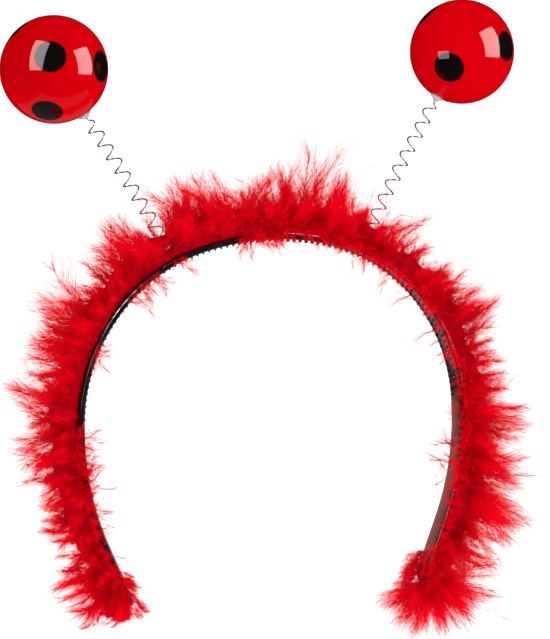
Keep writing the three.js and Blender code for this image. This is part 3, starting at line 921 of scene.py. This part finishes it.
every = np.arange(len(root))
ribs = np.stack([on_rib(every, np.full(len(root), RIB_SHARE * s))[0] for s in t], axis=1)
barbs, start = barb_lines()
strands = np.concatenate([ribs, barbs])
strands = bend(strands.reshape(-1, 3)).reshape(strands.shape)
pressed = (strands[..., 0] < 0) & (strands[..., 2] < PRESSED_LEVEL)
strands[pressed, 2] = PRESSED_LEVEL + PRESSED_SHARE * (strands[pressed, 2] - PRESSED_LEVEL)
widths = np.concatenate([np.full(len(ribs), RIB_WIDTH), np.full(len(barbs), BARB_WIDTH)])
# Barbs that start low on their rib get a darker red, which is painted shade deep in the trim; the plume's
# share is random tone, and the ribs are the darkest red.
tone_and_painted_shade = np.concatenate([np.full(len(ribs), RIB_DEPTH), 0.45 * shade[plume] + 0.9 * start])
piece_limits = np.quantile(root[plume, 0], np.arange(1, len(TRIM_PIECES)) / len(TRIM_PIECES))
piece_of = np.searchsorted(piece_limits, root[:, 0])
piece_of = np.concatenate([piece_of, piece_of[plume]])
middle, half = (cad_high + cad_low) / 2, (cad_high - cad_low) / 2
kept = np.all(np.abs(strands - middle) < np.array(half) + MOST_PROUD, axis=(1, 2))
print("barbs", len(barbs), "ribs", len(ribs), "too long", np.sum(~kept))


def ribbon_curve(name, lines, widths):
    """A curve that draws each line as a narrow ribbon, tapering to its tip."""
    curve = bpy.data.curves.new(name, "CURVE")
    curve.dimensions = "3D"
    curve.extrude = BARB_WIDTH / 2
    for line, width, turn in zip(lines, widths, random.uniform(0, math.pi, len(lines))):
        spline = curve.splines.new("POLY")
        spline.points.add(len(line) - 1)
        spline.points.foreach_set("co", np.column_stack([line, np.ones(len(line))]).ravel())
        spline.points.foreach_set("radius", width / BARB_WIDTH * (1 - 0.8 * t))
        spline.points.foreach_set("tilt", np.full(len(line), turn))
    return curve


for index, name in enumerate(TRIM_PIECES):
    chosen = kept & (piece_of == index)
    mesh = curve_mesh(f"marabou_{name}", ribbon_curve(f"marabou_{name}", strands[chosen], widths[chosen]))
    depth = mesh.attributes.new("depth", "FLOAT", "POINT")
    depth.data.foreach_set("value", np.repeat(tone_and_painted_shade[chosen], len(mesh.vertices) // np.sum(chosen)))
    marabou = new_piece(f"marabou_{name}", mesh, "band", dyed_marabou)
    if name == "left_crown":
        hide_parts("feather_trim")
    print(marabou.name, "faces", len(mesh.polygons))

# %% [markdown]
# ## Studio
# The photograph's white is a light table: white acrylic that glows under and behind the object. It could be a
# bright world alone, but a real sheet also lights the down from below.

# %% Light table
glowing_acrylic = new_material("glowing_acrylic")
sheet = add(glowing_acrylic, "BsdfPrincipled", {
    "Base Color": linear("#f4f4f4"), "Roughness": 0.6,
    "Emission Color": (1, 1, 1, 1), "Emission Strength": 0.6})
add(glowing_acrylic, "OutputMaterial", {"Surface": sheet.outputs["BSDF"]})

FLOOR_SIZE = 6.0
BACK_HEIGHT = 3.0
BACK_BEND = 1.2
low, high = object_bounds()
floor_level = low.z - 1.5 * MM
bm = bmesh.new()
bmesh.ops.create_grid(bm, x_segments=1, y_segments=1, size=FLOOR_SIZE / 2)
back_edge = [e for e in bm.edges if all(v.co.y > 0 for v in e.verts)]
raised = bmesh.ops.extrude_edge_only(bm, edges=back_edge)
raised_verts = [v for v in raised["geom"] if isinstance(v, bmesh.types.BMVert)]
bmesh.ops.translate(bm, verts=raised_verts, vec=(0, 0, BACK_HEIGHT))
bmesh.ops.bevel(bm, geom=[e for e in bm.edges if e.calc_face_angle(0) > 1], offset=BACK_BEND, segments=16,
                profile=0.5, affect="EDGES", material=-1)
bmesh.ops.translate(bm, verts=bm.verts, vec=(0, 0, floor_level))
sweep_floor = new_piece("sweep_floor", mesh_from(bm, "sweep_floor"), None, glowing_acrylic)
sweep_floor.visible_glossy = False
sweep_floor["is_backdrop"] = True
print("floor at", round(floor_level / MM), "mm")

# %% [markdown]
# ## Lamps
# Two softboxes stand in front, one to the left and one further round to the right, and a third hangs above.
# Photographers put flags between a lamp and a gloss that should not show it. Here ray visibility and light
# linking are the flags. Each lamp is seen either by gloss or by the rest. Gloss doesn't see the wide floor or
# the room, and five of the smaller lamps shine on one piece only.

# %% Lamps and room
LAMP_DISTANCE = 0.9
OBJECT_MIDDLE = Vector((0, 0, 0))
UPRIGHT = Vector((0, 0, 1))
TABLE_PLACE = Vector((0, 0.12, floor_level))
BEHIND = Vector((-0.17, 0.85, 0.07))  # mirrored inside the right arm


def at_angles(azimuth, elevation):
    """Matrix of a lamp that faces the object from angles off the camera's line."""
    a, e = PHOTO_AZIMUTH + math.radians(azimuth), math.radians(elevation)
    way = Vector((math.sin(a) * math.cos(e), -math.cos(a) * math.cos(e), math.sin(e)))
    return facing(way * LAMP_DISTANCE, OBJECT_MIDDLE, UPRIGHT)


def lamp(name, matrix, width, height, radiance, gloss, colour="#ffffff", only_on=None, not_on=None):
    """A rectangular lamp, seen by gloss or by the rest, that can shine on one piece only or spare one."""
    data = bpy.data.lights.new(name, "AREA")
    data.shape = "RECTANGLE"
    data.size, data.size_y = width, height
    data.energy = radiance * math.pi * width * height
    data.color = linear(colour)[:3]
    holder = bpy.data.objects.new(name, data)
    bpy.context.scene.collection.objects.link(holder)
    holder.matrix_world = matrix
    holder.visible_camera = False
    holder.visible_glossy = gloss
    holder.visible_diffuse = holder.visible_transmission = not gloss
    if only_on or not_on:
        receivers = bpy.data.collections.new(f"{name}_receivers")
        receivers.objects.link(only_on or not_on)
        receivers.collection_objects[0].light_linking.link_state = "INCLUDE" if only_on else "EXCLUDE"
        holder.light_linking.receiver_collection = receivers


left_ball, right_ball = (bpy.data.objects[f"dotted_ball_{name}"] for name in BOPPERS)
lamp("left_shine", at_angles(-37, 31), 0.46, 0.95, 6, gloss=True, not_on=right_ball)
lamp("left_fill", at_angles(-37, 31), 0.46, 0.95, 2.4, gloss=False)
lamp("right_shine", at_angles(71, 17), 0.62, 0.8, 7, gloss=True)
lamp("right_fill", at_angles(71, 17), 0.62, 0.8, 3.8, gloss=False)
lamp("top_fill", at_angles(30, 70), 0.6, 0.6, 3.4, gloss=False)
lamp("edge_strip", at_angles(-46, 48), 0.5, 0.5, 50, gloss=True, only_on=hair_band)
lamp("small_card", at_angles(-42.5, -2), 0.44, 0.27, 4, gloss=True, only_on=right_ball)

over_table = facing(TABLE_PLACE, TABLE_PLACE + UPRIGHT, Vector((0, 1, 0)))
lamp("table_shine", over_table, 0.5, 0.5, 0.15, gloss=True, only_on=left_ball)
lamp("table_on_band", over_table, 0.5, 0.5, 0.6, gloss=True, only_on=hair_band)
behind = facing(BEHIND, OBJECT_MIDDLE, UPRIGHT)
lamp("rosy_card", behind, 0.5, 0.5, 1.4, gloss=True, colour="#ff9a8c", only_on=hair_band)

world = bpy.data.worlds.new("pale_room")
bpy.context.scene.world = world
world.use_nodes = True
world.node_tree.nodes.clear()
path = add(world, "LightPath")
level = add(world, "MapRange", {"Value": path.outputs["Is Camera Ray"], "To Min": 0.5, "To Max": 1.0})
room = add(world, "Background", {"Color": (1, 1, 1, 1), "Strength": level.outputs["Result"]})
add(world, "OutputWorld", {"Surface": room.outputs["Background"]})
world.cycles_visibility.glossy = False
bpy.context.scene.view_settings.view_transform = "Standard"
print("lamps", len(bpy.data.lights))

# %% Sizes and finish
low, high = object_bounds()
print("visual from", [round(v, 4) for v in low], "to", [round(v, 4) for v in high])
